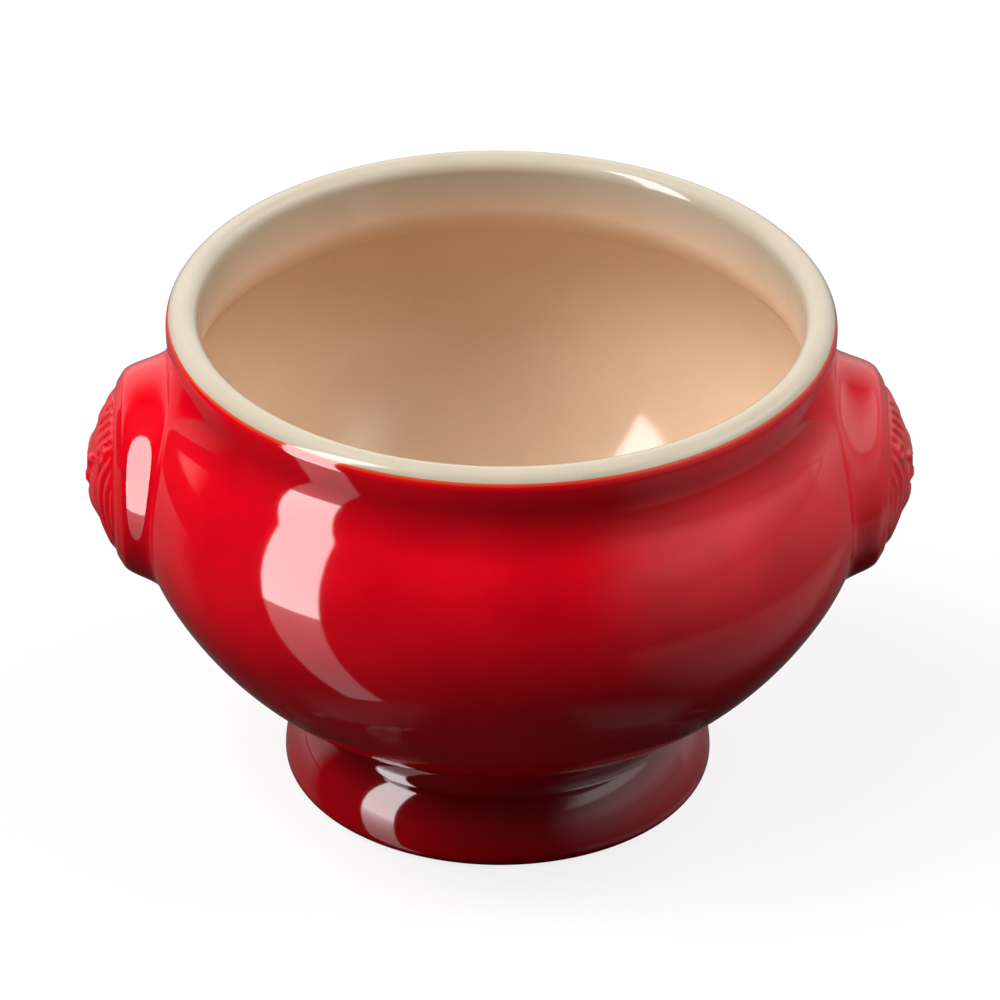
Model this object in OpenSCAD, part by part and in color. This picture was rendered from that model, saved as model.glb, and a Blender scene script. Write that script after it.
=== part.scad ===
// Lion-head soup crock: a fired and glazed stoneware bowl on a pedestal foot.
// Millimetres, +Z up, origin at the centre of the standing ring, handles on +X and -X.
// Every profile is a chain of tangent arcs drawn in [radius, height].
// Clay is the glazed surface set back by one coat, and the coats fill the difference.

/* [Bowl] */
// Height from the table to the top of the lip
bowl_h = 95; // [86:0.5:106]
// Largest diameter of the belly
belly_d = 133; // [120:0.5:146]
// Distance that the belly bulges past the lip
belly_out = 6.5; // [5:0.1:8]
// Height of the widest point, as a share of the bowl's height
belly_z_share = 0.637; // [0.62:0.001:0.65]
// Vertical rounding of the belly at its widest point, as a share of the bowl's height
belly_round_share = 0.368; // [0.35:0.001:0.385]
// Rounding of the long flank below the belly, as a share of the bowl's height
flank_round_share = 0.674; // [0.62:0.001:0.72]
// Rounding where the flank turns in to the flat base, as a share of the bowl's height
base_round_share = 0.395; // [0.37:0.001:0.42]
// Hollow rounding of the neck above the shoulder, as a share of the bowl's height
neck_round_share = 0.158; // [0.13:0.001:0.18]
// Distance that the neck is drawn in from the lip
neck_in = 0.4; // [0.2:0.1:0.8]
// Thickness of the wall, coats included
wall_t = 4; // [3.4:0.1:4.8]

/* [Lip] */
// Thickness of the lip
lip_t = 5.9; // [5.4:0.1:6.6]
// Rounding of the outer half of the lip
lip_round = 3.25; // [2.8:0.05:3.8]
// Rounding of the ridge inside, where the neck opens into the belly
ridge_round = 9; // [6:0.1:11]

/* [Foot] */
// Diameter of the waist above the foot
waist_d = 68; // [62:0.5:73]
// Distance that the foot flares out past the waist
foot_out = 5; // [4:0.05:6.5]
// Hollow rounding between the waist and the bowl
waist_round = 5.8; // [4.5:0.1:7]
// Share of the foot's side that bulges, the rest being the hollow flare under the waist
roll_share = 0.83; // [0.6:0.01:0.9]
// Rounding of the foot's edge below its widest point
heel_round = 2.6; // [2:0.1:3]
// Width of the bare standing ring
ring_w = 4.3; // [3:0.1:5]
// Rounding of the ring's inner edge
ring_round = 1.4; // [0.8:0.1:2]
// Thickness of the foot at its waist
foot_t = 7; // [6:0.05:8]
// Rounding in the top corner of the hollow
hollow_round = 2.5; // [2:0.1:3.5]

/* [Handles] */
// Height of the handle's centre above the widest point of the belly
handle_rise = 1.1; // [-1:0.1:2]
// Distance that the boss stands out past the belly, where it meets the mask
boss_out = 3.2; // [2.4:0.1:5]
// Relief of the lion mask over the boss
mask_h = 5.1; // [3.5:0.1:7]
// Diameter of the lion mask
mask_d = 29.2; // [25:0.2:32]
// Width of the plain collar between the mask and the blend
collar_w = 2.7; // [1.8:0.1:3.6]
// Width of the blend that carries the collar down on to the bowl
blend_w = 5; // [4:0.1:6]
// Fall of the boss from the mask to its edge
boss_fall = 4.7; // [3.5:0.1:6]
// Depth of the groove round the mask
notch_depth = 0.35; // [0:0.05:0.6]
// Distance from one hair lock to the next
lock_pitch = 2.6; // [2:0.1:4]
// Depth of the grooves between the hair locks
lock_depth = 0.6; // [0:0.05:1]

/* [Glaze] */
// Thickness of a glaze coat
coat_t = 0.5; // [0.3:0.05:0.6]
// Where the red coat ends on the lip, in degrees up the outer rounding
red_line_angle = 32; // [15:1:60]
// Where the coats end under the foot, in degrees down the rounding
heel_line_angle = 60; // [40:1:70]

/* [Hidden] */
// Slip joint under each handle, and the room round it in the red coat
slip_gap = 0.05;
// Steps of one arc, and facets round the axis
arc_steps = 10;
$fn = 180;

// Angles below the belly at which the belly arc, the flank arc and the base arc meet
flank_angle = 27.5;
base_angle = 45;

belly_z = bowl_h * belly_z_share;
belly_round = bowl_h * belly_round_share;
flank_round = bowl_h * flank_round_share;
base_round = bowl_h * base_round_share;
neck_round = bowl_h * neck_round_share;
belly_r = belly_d / 2;
rim_r = belly_r - belly_out;
neck_r = rim_r - neck_in;
lip_r = rim_r - lip_t;
inner_round = lip_t - lip_round;
waist_r = waist_d / 2;
foot_r = waist_r + foot_out;

// Centres of the bowl's arcs
belly_c = [belly_r - belly_round, belly_z];
flank_c = belly_c - (flank_round - belly_round) * [cos(flank_angle), -sin(flank_angle)];
base_c = flank_c + (flank_round - base_round) * [cos(base_angle), -sin(base_angle)];
base_z = base_c.y - base_round;
shoulder_angle = acos((neck_r + neck_round - belly_c.x) / (belly_round + neck_round));
neck_c = [neck_r + neck_round, belly_z + (belly_round + neck_round) * sin(shoulder_angle)];
lip_z = bowl_h - lip_round;
lip_c = [rim_r - lip_round, lip_z];
swell_angle = 2 * atan(neck_in / (lip_z - neck_c.y));
swell_round = (lip_z - neck_c.y) / sin(swell_angle) - neck_round;
swell_c = [rim_r - swell_round, lip_z];
inner_lip_c = [lip_c.x, bowl_h - inner_round];
bore_round = belly_round - wall_t;
ridge_reach = bore_round + ridge_round;
ridge_angle = acos((lip_r + ridge_round - belly_c.x) / ridge_reach);
ridge_c = belly_c + ridge_reach * [cos(ridge_angle), sin(ridge_angle)];

// Centres of the foot's arcs
waist_reach = base_round + waist_round;
waist_angle = acos((waist_r + waist_round - base_c.x) / waist_reach);
waist_c = base_c + waist_reach * [cos(waist_angle), -sin(waist_angle)];
heel_c = [foot_r - heel_round, heel_round];
flare_angle = 2 * atan((foot_r - waist_r) / (waist_c.y - heel_round));
flare_reach = (waist_c.y - heel_round) / sin(flare_angle);
roll_round = flare_reach * roll_share;
roll_c = [foot_r - roll_round, heel_round];
flare_round = flare_reach - roll_round;
flare_c = [waist_r + flare_round, waist_c.y];
ring_c = [heel_c.x - ring_w, ring_round];
hollow_c = [waist_r - foot_t - hollow_round, base_z - hollow_round];
hollow_run = ring_c - hollow_c;
hollow_angle = acos((hollow_round + ring_round) / norm(hollow_run)) + atan2(hollow_run.y, hollow_run.x);

// Where the foot's clay meets the bowl it is this thick, and glaze pools past it
seam_t = 2 * coat_t;
clay_round = base_round - coat_t;
fillet_round = waist_round + coat_t;
seam_reach = clay_round + seam_t;
seam_angle = corner(waist_reach, seam_reach, fillet_round);
fillet_angle = corner(waist_reach, fillet_round, seam_reach);
pool_angle = asin(1 - seam_t / (hollow_round + coat_t));
flat_r = min(base_c.x, hollow_c.x);
seam_in_r = hollow_c.x + (hollow_round + coat_t) * cos(pool_angle);
seam_out_r = base_c.x + clay_round * cos(waist_angle + seam_angle);
seam_end_r = base_c.x + clay_round * cos(waist_angle);

// Handle sizes off the axis
handle_z = belly_z + handle_rise;
boss_x = belly_r + boss_out;
mask_r = mask_d / 2;
blend_r = mask_r + collar_w;
root_r = blend_r + blend_w;

// Rings of the handle's mesh over the mask, over the boss and on the back, and its rays
mask_rings = 24;
boss_rings = 8;
back_rings = 5;
mask_rays = 84;

// Lion face, each form as shares of the mask's radius: side, height, half width, half height,
// relief as a share of the dome's height, turn in degrees and squareness
face_shares = [
    [0, 0.44, 0.2, 0.16, 0.1, 0, 1.2],
    [0, 0.38, 0.04, 0.14, -0.07, 0, 1],
    [0, 0.1, 0.11, 0.26, 0.2, 0, 1.6],
    [0, -0.1, 0.15, 0.075, 0.16, 0, 1.8],
    [0.1, -0.12, 0.06, 0.05, 0.08, 0, 1.4],
    [0.085, -0.165, 0.045, 0.03, -0.16, 25, 1],
    [0.17, -0.32, 0.2, 0.15, 0.27, -18, 1.6],
    [0, -0.29, 0.03, 0.12, -0.14, 0, 1],
    [0.13, -0.47, 0.19, 0.05, -0.2, -16, 1.2],
    [0, -0.59, 0.14, 0.09, 0.24, 0, 1.5],
    [0.22, 0.27, 0.17, 0.06, 0.26, 24, 1.5],
    [0.25, 0.14, 0.12, 0.07, -0.3, -10, 1.4],
    [0.25, 0.13, 0.062, 0.04, 0.26, -10, 1.3],
    [0.43, 0.02, 0.12, 0.2, 0.14, 20, 1.3],
    [0.53, 0.5, 0.14, 0.12, 0.3, -30, 1.8],
    [0.535, 0.495, 0.075, 0.06, -0.26, -30, 1.4]
];
// Height of the plain dome, against the forms on it
dome_share = 1.4;
// Where the hair starts and is full, and where it starts to fade and ends, from the mask's centre
hair_shares = [0.5, 0.72, 0.86, 1];
// Bow of the locks above and below the centre, half width of the parting, rounding of the grooves
bow_shares = [0.55, 0.19];
parting_share = 0.1;
groove_share = 0.3;
// Ear that the locks leave free: side, height, half width, half height
ear_shares = [0.53, 0.5, 0.17, 0.15];
// Half width of the groove round the mask
notch_share = 0.05;

// Angle between the sides a and b of a triangle whose third side is c
function corner(a, b, c) = acos((a * a + b * b - c * c) / (2 * a * b));

// Points of an arc round c, from angle a to angle b
function arc(c, r, a, b, steps = arc_steps) =
    [for (i = [0:steps]) c + r * [cos(a + (b - a) * i / steps), sin(a + (b - a) * i / steps)]];

function reversed(points) = [for (i = [len(points) - 1:-1:0]) points[i]];

// Drops each point that repeats the one before it
function tidy(points) =
    [for (i = [0:len(points) - 1]) if (i == 0 || norm(points[i] - points[i - 1]) > coat_t / 1000) points[i]];

// Underside of the bowl set back by d, from radius a to radius b
function base_height(d, r) = base_c.y - sqrt(pow(base_round - d, 2) - pow(max(r - base_c.x, 0), 2));
function underside(d, a, b) =
    [for (i = [0:arc_steps]) let (r = a + (b - a) * i / arc_steps) [r, base_height(d, r)]];

// Outside of the bowl set back by d, from the foot up to the end of the red coat
function bowl_side(d) = concat(
    arc(base_c, base_round - d, -waist_angle, -base_angle),
    arc(flank_c, flank_round - d, -base_angle, -flank_angle),
    arc(belly_c, belly_round - d, -flank_angle, shoulder_angle, 2 * arc_steps),
    arc(neck_c, neck_round + d, 180 + shoulder_angle, 180 - swell_angle),
    arc(swell_c, swell_round - d, -swell_angle, 0, arc_steps / 2),
    arc(lip_c, lip_round - d, 0, red_line_angle, arc_steps / 2)
);
function lip_top(d) = concat(
    arc(lip_c, lip_round - d, red_line_angle, 90),
    arc(inner_lip_c, inner_round - d, 90, 180)
);
function bowl_inside(d) = concat(
    [[lip_r + d, inner_lip_c.y]],
    arc(ridge_c, ridge_round - d, 180, 180 + ridge_angle),
    arc(belly_c, bore_round + d, ridge_angle, -flank_angle, 2 * arc_steps),
    arc(flank_c, flank_round - wall_t + d, -flank_angle, -base_angle),
    arc(base_c, base_round - wall_t + d, -base_angle, -90),
    [[0, base_z + wall_t - d]]
);

// Outside of the foot set back by d, from an angle of the fillet down to the glaze line
function foot_side(d, from_angle) = concat(
    arc(waist_c, waist_round + d, from_angle, 180),
    arc(flare_c, flare_round + d, 180, 180 + flare_angle),
    arc(roll_c, roll_round - d, flare_angle, 0),
    arc(heel_c, heel_round - d, 0, -heel_line_angle, arc_steps / 2)
);
// Hollow of the foot set back by d, from the glaze line up to an angle of its top corner
function hollow_side(d, to_angle) = concat(
    arc(ring_c, ring_round - d, 180 + heel_line_angle, 180 + hollow_angle, arc_steps / 2),
    arc(hollow_c, hollow_round + d, hollow_angle, to_angle)
);

// Distance from the Y-Z plane to the bowl at y and z, from its outline in [height, radius]
function outline(d) = [for (p = tidy(bowl_side(d))) [p.y, p.x]];
glazed_outline = outline(0);
clay_outline = outline(coat_t);
function bowl_x(outline, y, z) = sqrt(pow(lookup(z, outline), 2) - y * y);

// Steps from 0 to 1, the first without a kink and the second without a jump in its bend either
function step_share(a, b, v) = min(max((v - a) / (b - a), 0), 1);
function smooth_step(a, b, v) =
    let (t = step_share(a, b, v))
    t * t * (3 - 2 * t);
function soft_step(a, b, v) =
    let (t = step_share(a, b, v))
    t * t * t * (t * (6 * t - 15) + 10);
function total(values, i = 0) = i == len(values) ? 0 : values[i] + total(values, i + 1);

// One form of the face, and the whole mask without its hair, at p to the side and q up
function form(s, p, q) =
    let (
        run = p - s[0],
        rise = q - s[1],
        a = (run * cos(s[5]) + rise * sin(s[5])) / s[2],
        b = (rise * cos(s[5]) - run * sin(s[5])) / s[3]
    )
    s[4] * exp(-pow(a * a + b * b, s[6]));
function face(p, q) =
    max(1 - p * p - q * q, 0) * (dome_share + total([for (s = face_shares) form(s, p, q)]));
face_peak = max([for (i = [-mask_rings:mask_rings]) face(0, i / mask_rings)]);

// Locks fall from the parting at the crown, bow outwards round the face and pass behind the ears
function ear(p, q) =
    exp(-pow(pow((p - ear_shares[0]) / ear_shares[2], 2) + pow((q - ear_shares[1]) / ear_shares[3], 2), 2));
function locks(p, q) =
    let (
        rho = norm([p, q]),
        bow = q > 0 ? bow_shares[0] : bow_shares[1],
        turns = (p - bow * q * q) * mask_r / lock_pitch
    )
    (norm([sin(180 * turns), groove_share]) - norm([1, groove_share]))
    * smooth_step(hair_shares[0], hair_shares[1], rho)
    * (1 - smooth_step(hair_shares[2], hair_shares[3], rho))
    * smooth_step(0, parting_share, p)
    * (1 - ear(p, q));

// Front of the handle, at y and z from its centre
function handle_x(y, z) =
    let (
        rho = norm([y, z]),
        p = abs(y) / mask_r,
        q = z / mask_r,
        edge = (rho - mask_r) / (root_r - mask_r),
        notch = exp(-pow((rho / mask_r - 1) / notch_share, 2)),
        boss = boss_x - boss_fall * max(edge, 0) - notch_depth * notch,
        mask = rho < mask_r ? mask_h * face(p, q) / face_peak + lock_depth * locks(p, q) : 0,
        skin = bowl_x(glazed_outline, y, handle_z + z)
    )
    skin + (boss + mask - skin) * (1 - soft_step(blend_r, root_r, rho));

module handle(side) {
    // Rings of the mesh from the mask's centre out to the root, then back against the clay
    front = concat(
        [for (i = [1:mask_rings]) mask_r * i / mask_rings],
        [for (i = [1:boss_rings]) mask_r + (root_r - mask_r) * i / boss_rings]
    );
    back = [for (i = [back_rings:-1:1]) root_r * i / back_rings];
    rays = [for (k = [0:mask_rays - 1]) 360 * k / mask_rays];
    function front_point(r, a) = [side * handle_x(r * sin(a), r * cos(a)), r * sin(a), handle_z + r * cos(a)];
    function back_point(r, a) =
        let (y = r * sin(a), z = handle_z + r * cos(a))
        [side * (bowl_x(clay_outline, y, z) + slip_gap), y, z];
    points = concat(
        [front_point(0, 0)],
        [for (r = front) for (a = rays) front_point(r, a)],
        [for (r = back) for (a = rays) back_point(r, a)],
        [back_point(0, 0)]
    );
    last_ring = len(front) + len(back) - 1;
    last = len(points) - 1;
    function at(ring, k) = 1 + ring * mask_rays + k % mask_rays;
    faces = concat(
        [for (k = [0:mask_rays - 1]) [0, at(0, k), at(0, k + 1)]],
        [for (i = [0:last_ring - 1]) for (k = [0:mask_rays - 1]) [at(i, k), at(i + 1, k), at(i, k + 1)]],
        [for (i = [1:last_ring]) for (k = [0:mask_rays - 1]) [at(i, k), at(i, k + 1), at(i - 1, k + 1)]],
        [for (k = [0:mask_rays - 1]) [last, at(last_ring, k + 1), at(last_ring, k)]]
    );
    polyhedron(points, side > 0 ? faces : [for (f = faces) reversed(f)], convexity = 6);
}

module turned(points) {
    rotate_extrude(convexity = 6) polygon(tidy(points));
}

// The thrown bowl: base, flank, belly, shoulder, neck and lip in one wall of clay
module bowl_body() {
    color("#e6dac6") turned(concat(
        [[0, base_z + coat_t]],
        underside(coat_t, flat_r, seam_in_r),
        underside(coat_t, seam_in_r, seam_out_r),
        underside(coat_t, seam_out_r, seam_end_r),
        bowl_side(coat_t),
        lip_top(coat_t),
        bowl_inside(coat_t)
    ));
}

// The pedestal foot, hollow below, luted to the underside of the bowl
module foot() {
    color("#e0d2ba") turned(concat(
        underside(coat_t, seam_in_r, seam_out_r),
        foot_side(coat_t, 180 - waist_angle + fillet_angle),
        [[heel_c.x, 0], [ring_c.x, 0]],
        hollow_side(coat_t, pool_angle)
    ));
}

module handle_left() {
    color("#d0091c") handle(-1);
}

module handle_right() {
    color("#d0091c") handle(1);
}

// Tan coat inside, from the lip down to the floor
module inner_glaze() {
    color("#cda27a") turned(concat(bowl_inside(0), reversed(bowl_inside(coat_t))));
}

// Cream coat over the lip
module rim_glaze() {
    color("#dfd2bd") turned(concat(lip_top(0), reversed(lip_top(coat_t))));
}

// Red coat of the bowl, open where the handles are luted to the clay
module outer_glaze() {
    color("#c8071a") difference() {
        turned(concat(bowl_side(0), reversed(bowl_side(coat_t))));
        translate([0, 0, handle_z]) rotate([0, 90, 0])
            cylinder(h = 2 * belly_d, r = root_r + slip_gap, center = true);
    }
}

// Red coat of the foot, pooled in the corner under the bowl
module foot_glaze() {
    color("#8a0613") turned(concat(
        foot_side(0, 180 - waist_angle),
        reversed(foot_side(coat_t, 180 - waist_angle + fillet_angle)),
        underside(coat_t, seam_out_r, seam_end_r)
    ));
}

// Red coat of the hollow and of the bowl's underside inside it
module recess_glaze() {
    color("#8a0613") turned(concat(
        [[0, base_z]],
        reversed(hollow_side(0, 90)),
        hollow_side(coat_t, pool_angle),
        reversed(underside(coat_t, flat_r, seam_in_r)),
        [[0, base_z + coat_t]]
    ));
}

bowl_body();
foot();
handle_left();
handle_right();
inner_glaze();
rim_glaze();
outer_glaze();
foot_glaze();
recess_glaze();
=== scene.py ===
"""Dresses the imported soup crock: smooth turned clay and glazes, lion-head handles and a photo studio."""

import logging
import math
from dataclasses import dataclass, field
from enum import Enum
from typing import Any, Optional

import bmesh
import bpy
import numpy as np
from bpy.types import ColorRamp, ID, Material, Mesh, Node, NodeSocket, NodeTree, Object
from mathutils import Matrix, Vector


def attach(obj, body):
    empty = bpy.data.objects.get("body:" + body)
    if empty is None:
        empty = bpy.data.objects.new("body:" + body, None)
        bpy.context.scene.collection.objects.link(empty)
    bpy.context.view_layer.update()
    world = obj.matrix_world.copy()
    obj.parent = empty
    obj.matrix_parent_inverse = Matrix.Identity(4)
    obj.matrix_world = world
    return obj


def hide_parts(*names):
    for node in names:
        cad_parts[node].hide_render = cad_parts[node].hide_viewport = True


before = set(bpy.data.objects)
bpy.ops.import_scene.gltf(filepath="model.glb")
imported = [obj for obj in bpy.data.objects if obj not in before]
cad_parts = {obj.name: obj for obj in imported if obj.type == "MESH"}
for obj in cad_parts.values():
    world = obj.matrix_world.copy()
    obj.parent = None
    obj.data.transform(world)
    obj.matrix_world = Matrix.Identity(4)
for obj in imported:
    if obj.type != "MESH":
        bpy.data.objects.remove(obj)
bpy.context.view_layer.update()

MM = 0.001
LOG = logging.getLogger("crock")

# The two colours that a Mix node takes and the one that it gives, by place because their names repeat
MIX_FROM, MIX_TO, MIXED = 6, 7, 2
# Direction of the tall softbox whose image stands on the left of the belly, in degrees
KEY_AZIMUTH = -64.2

Point = tuple[float, float]
Run = list[Point]


class Side(Enum):
    """The side of the bowl that a handle is on, as the sign of X."""

    LEFT = -1
    RIGHT = 1


def linear(code: str) -> tuple[float, float, float, float]:
    """Turns a colour as it is written into the one that the shaders work in.

    Args:
        code: An sRGB colour as a hash and six hex digits.

    Returns:
        The linear colour with an alpha of 1.
    """
    shares = [int(code[i:i + 2], 16) / 255 for i in (1, 3, 5)]
    red, green, blue = (s / 12.92 if s <= 0.04045 else ((s + 0.055) / 1.055) ** 2.4 for s in shares)
    return red, green, blue, 1.0


def add_node(tree: NodeTree, kind: str, inputs: Optional[dict[Any, Any]] = None, **settings: Any) -> Node:
    """Adds one node with its settings, its values and its links.

    Args:
        tree: The node tree that takes the node.
        kind: The node's type name.
        inputs: For each input's name or index, a value to set, an output socket to link, or a node whose
            first output is linked.
        **settings: Properties of the node itself.

    Returns:
        The new node.
    """
    node = tree.nodes.new(kind)
    for key, value in settings.items():
        setattr(node, key, value)
    for key, value in (inputs or {}).items():
        source = value.outputs[0] if isinstance(value, Node) else value
        if isinstance(source, NodeSocket):
            tree.links.new(source, node.inputs[key])
        else:
            node.inputs[key].default_value = source
    return node


def set_stops(ramp: ColorRamp, *stops: tuple[float, str]) -> None:
    """Sets the stops of a colour ramp.

    Args:
        ramp: The ramp.
        *stops: Each stop's place and its colour as it is written.
    """
    for element, (place, code) in zip(ramp.elements, stops):
        element.position, element.color = place, linear(code)


def new_material(name: str) -> tuple[Material, NodeTree, NodeSocket]:
    """Makes a material whose tree gives only the place on the object.

    Args:
        name: The material's name.

    Returns:
        The material, its tree and the socket of the place.
    """
    mat = bpy.data.materials.new(name)
    mat.use_nodes = True
    mat.node_tree.nodes.clear()
    return mat, mat.node_tree, add_node(mat.node_tree, "ShaderNodeTexCoord").outputs["Object"]


def stand(name: str, data: ID) -> Object:
    """Stands a new object in the scene, at the origin.

    Args:
        name: The object's name.
        data: Its mesh, lamp or camera.

    Returns:
        The object.
    """
    thing = bpy.data.objects.new(name, data)
    bpy.context.scene.collection.objects.link(thing)
    return thing


def arc(centre: Point, radius: float, start: float, end: float, pitch: float = 1.5) -> Run:
    """Walks an arc in steps of at most one pitch.

    Args:
        centre: The arc's centre as radius and height, in mm.
        radius: The arc's radius, in mm.
        start: The first angle, in degrees.
        end: The last angle, in degrees.
        pitch: The largest step, in degrees.

    Returns:
        The points, both ends included.
    """
    count = max(4, math.ceil(abs(end - start) / pitch))
    turns = [math.radians(start + (end - start) * i / count) for i in range(count + 1)]
    return [(centre[0] + radius * math.cos(t), centre[1] + radius * math.sin(t)) for t in turns]


def corner(a: float, b: float, c: float) -> float:
    """The angle in degrees between sides a and b of a triangle whose third side is c."""
    return math.degrees(math.acos((a * a + b * b - c * c) / (2 * a * b)))


def soft_step(low: float, high: float, value: np.ndarray) -> np.ndarray:
    """A step from 0 to 1 that starts and ends without a jump in slope or in bend.

    Args:
        low: Where the step starts.
        high: Where the step ends.
        value: The numbers to step.

    Returns:
        The share of the step, from 0 to 1.
    """
    t = np.clip((value - low) / (high - low), 0, 1)
    return t ** 3 * (t * (6 * t - 15) + 10)


@dataclass(frozen=True)
class CrockSizes:
    """Sizes of the crock in mm, with the names and values that the source part gives them."""

    bowl_h: float = 95
    belly_d: float = 133
    belly_out: float = 6.5
    belly_z_share: float = 0.637
    belly_round_share: float = 0.368
    flank_round_share: float = 0.674
    base_round_share: float = 0.395
    neck_round_share: float = 0.158
    neck_in: float = 0.4
    wall_t: float = 4
    lip_t: float = 5.9
    lip_round: float = 3.25
    ridge_round: float = 9
    waist_d: float = 68
    foot_out: float = 5
    waist_round: float = 5.8
    roll_share: float = 0.83
    heel_round: float = 2.6
    ring_w: float = 4.3
    ring_round: float = 1.4
    foot_t: float = 7
    hollow_round: float = 2.5
    handle_rise: float = 1.1
    boss_out: float = 3.2
    mask_h: float = 5.1
    mask_d: float = 29.2
    collar_w: float = 2.7
    blend_w: float = 5
    boss_fall: float = 4.7
    notch_depth: float = 0.35
    lock_pitch: float = 2.6
    lock_depth: float = 0.6
    coat_t: float = 0.5
    red_line_angle: float = 32
    heel_line_angle: float = 60
    flank_angle: float = 27.5
    base_angle: float = 45

    @property
    def belly_z(self) -> float:
        """Height of the widest point of the belly."""
        return self.bowl_h * self.belly_z_share

    @property
    def rim_r(self) -> float:
        """Radius over the lip."""
        return self.belly_d / 2 - self.belly_out

    @property
    def handle_z(self) -> float:
        """Height of the handles' centre."""
        return self.belly_z + self.handle_rise

    @property
    def mask_r(self) -> float:
        """Radius of the lion mask."""
        return self.mask_d / 2

    @property
    def root_r(self) -> float:
        """Radius at which a handle runs out on the bowl."""
        return self.mask_r + self.collar_w + self.blend_w


class Outline:
    """The crock's section: a chain of tangent arcs, given as runs of radius and height in mm.

    Every method takes a set-back from the glazed surface, so that 0 gives the glaze's face
    and one coat gives the clay's.
    """

    def __init__(self, s: CrockSizes) -> None:
        """Works out the centres of the arcs.

        Args:
            s: The crock's sizes.
        """
        self.s = s
        cos, sin = (lambda a: math.cos(math.radians(a))), (lambda a: math.sin(math.radians(a)))
        self.belly_round, self.flank_round = s.bowl_h * s.belly_round_share, s.bowl_h * s.flank_round_share
        self.base_round, self.neck_round = s.bowl_h * s.base_round_share, s.bowl_h * s.neck_round_share
        # Outside of the bowl, from the belly down and from the belly up
        rim_r, neck_r = s.rim_r, s.rim_r - s.neck_in
        self.belly = (s.belly_d / 2 - self.belly_round, s.belly_z)
        step = self.flank_round - self.belly_round
        self.flank = (self.belly[0] - step * cos(s.flank_angle), self.belly[1] + step * sin(s.flank_angle))
        step = self.flank_round - self.base_round
        self.base = (self.flank[0] + step * cos(s.base_angle), self.flank[1] - step * sin(s.base_angle))
        self.base_z = self.base[1] - self.base_round
        reach = self.belly_round + self.neck_round
        self.shoulder = math.degrees(math.acos((neck_r + self.neck_round - self.belly[0]) / reach))
        self.neck = (neck_r + self.neck_round, s.belly_z + reach * sin(self.shoulder))
        lip_z = s.bowl_h - s.lip_round
        self.swell_angle = math.degrees(2 * math.atan(s.neck_in / (lip_z - self.neck[1])))
        self.swell_round = (lip_z - self.neck[1]) / sin(self.swell_angle) - self.neck_round
        self.swell = (rim_r - self.swell_round, lip_z)
        self.lip = (rim_r - s.lip_round, lip_z)
        # Inner side of the lip, and the ridge where the neck opens into the belly
        self.inner_round = s.lip_t - s.lip_round
        self.inner_lip = (self.lip[0], s.bowl_h - self.inner_round)
        self.lip_r = rim_r - s.lip_t
        self.bore_round = self.belly_round - s.wall_t
        reach = self.bore_round + s.ridge_round
        self.ridge_angle = math.degrees(math.acos((self.lip_r + s.ridge_round - self.belly[0]) / reach))
        self.ridge = (self.belly[0] + reach * cos(self.ridge_angle),
                      self.belly[1] + reach * sin(self.ridge_angle))
        # Outside of the foot, from the waist down to the heel
        waist_reach = self.base_round + s.waist_round
        waist_r = s.waist_d / 2
        self.waist_angle = math.degrees(math.acos((waist_r + s.waist_round - self.base[0]) / waist_reach))
        self.waist = (waist_r + s.waist_round, self.base[1] - waist_reach * sin(self.waist_angle))
        foot_r = waist_r + s.foot_out
        rise = self.waist[1] - s.heel_round
        self.heel = (foot_r - s.heel_round, s.heel_round)
        self.flare_angle = math.degrees(2 * math.atan((foot_r - waist_r) / rise))
        reach = rise / sin(self.flare_angle)
        self.roll_round, self.flare_round = reach * s.roll_share, reach * (1 - s.roll_share)
        self.roll = (foot_r - self.roll_round, s.heel_round)
        self.flare = (waist_r + self.flare_round, self.waist[1])
        # Standing ring and the hollow in the foot
        self.ring = (self.heel[0] - s.ring_w, s.ring_round)
        self.hollow = (waist_r - s.foot_t - s.hollow_round, self.base_z - s.hollow_round)
        run = (self.ring[0] - self.hollow[0], self.ring[1] - self.hollow[1])
        lean = math.degrees(math.atan2(run[1], run[0]))
        share = (s.hollow_round + s.ring_round) / math.hypot(*run)
        self.hollow_angle = math.degrees(math.acos(share)) + lean
        # Where the coats of the foot and of the hollow end against the bowl's underside
        seam = 2 * s.coat_t
        self.flat_r = min(self.base[0], self.hollow[0])
        clay_round, fillet = self.base_round - s.coat_t, s.waist_round + s.coat_t
        self.fillet_angle = corner(waist_reach, fillet, clay_round + seam)
        self.pool_angle = math.degrees(math.asin(1 - seam / (s.hollow_round + s.coat_t)))
        self.seam_in = self.hollow[0] + (s.hollow_round + s.coat_t) * cos(self.pool_angle)
        seam_angle = corner(waist_reach, clay_round + seam, fillet)
        self.seam_out = self.base[0] + clay_round * cos(self.waist_angle + seam_angle)
        self.seam_end = self.base[0] + clay_round * cos(self.waist_angle)

    def underside(self, d: float, start: float, end: float, count: int = 12) -> Run:
        """Walks the bowl's underside.

        Args:
            d: The set-back, in mm.
            start: The first radius, in mm.
            end: The last radius, in mm.
            count: The number of steps.

        Returns:
            The points.
        """
        radii = [start + (end - start) * i / count for i in range(count + 1)]
        fall = (self.base_round - d) ** 2
        return [(r, self.base[1] - math.sqrt(fall - max(r - self.base[0], 0) ** 2)) for r in radii]

    def bowl_side(self, d: float) -> Run:
        """Walks the outside of the bowl from the foot up to the end of the red coat.

        Args:
            d: The set-back, in mm.

        Returns:
            The points.
        """
        s = self.s
        return (arc(self.base, self.base_round - d, -self.waist_angle, -s.base_angle)
                + arc(self.flank, self.flank_round - d, -s.base_angle, -s.flank_angle, pitch=1)
                + arc(self.belly, self.belly_round - d, -s.flank_angle, self.shoulder)
                + arc(self.neck, self.neck_round + d, 180 + self.shoulder, 180 - self.swell_angle)
                + arc(self.swell, self.swell_round - d, -self.swell_angle, 0)
                + arc(self.lip, s.lip_round - d, 0, s.red_line_angle, pitch=4))

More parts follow.
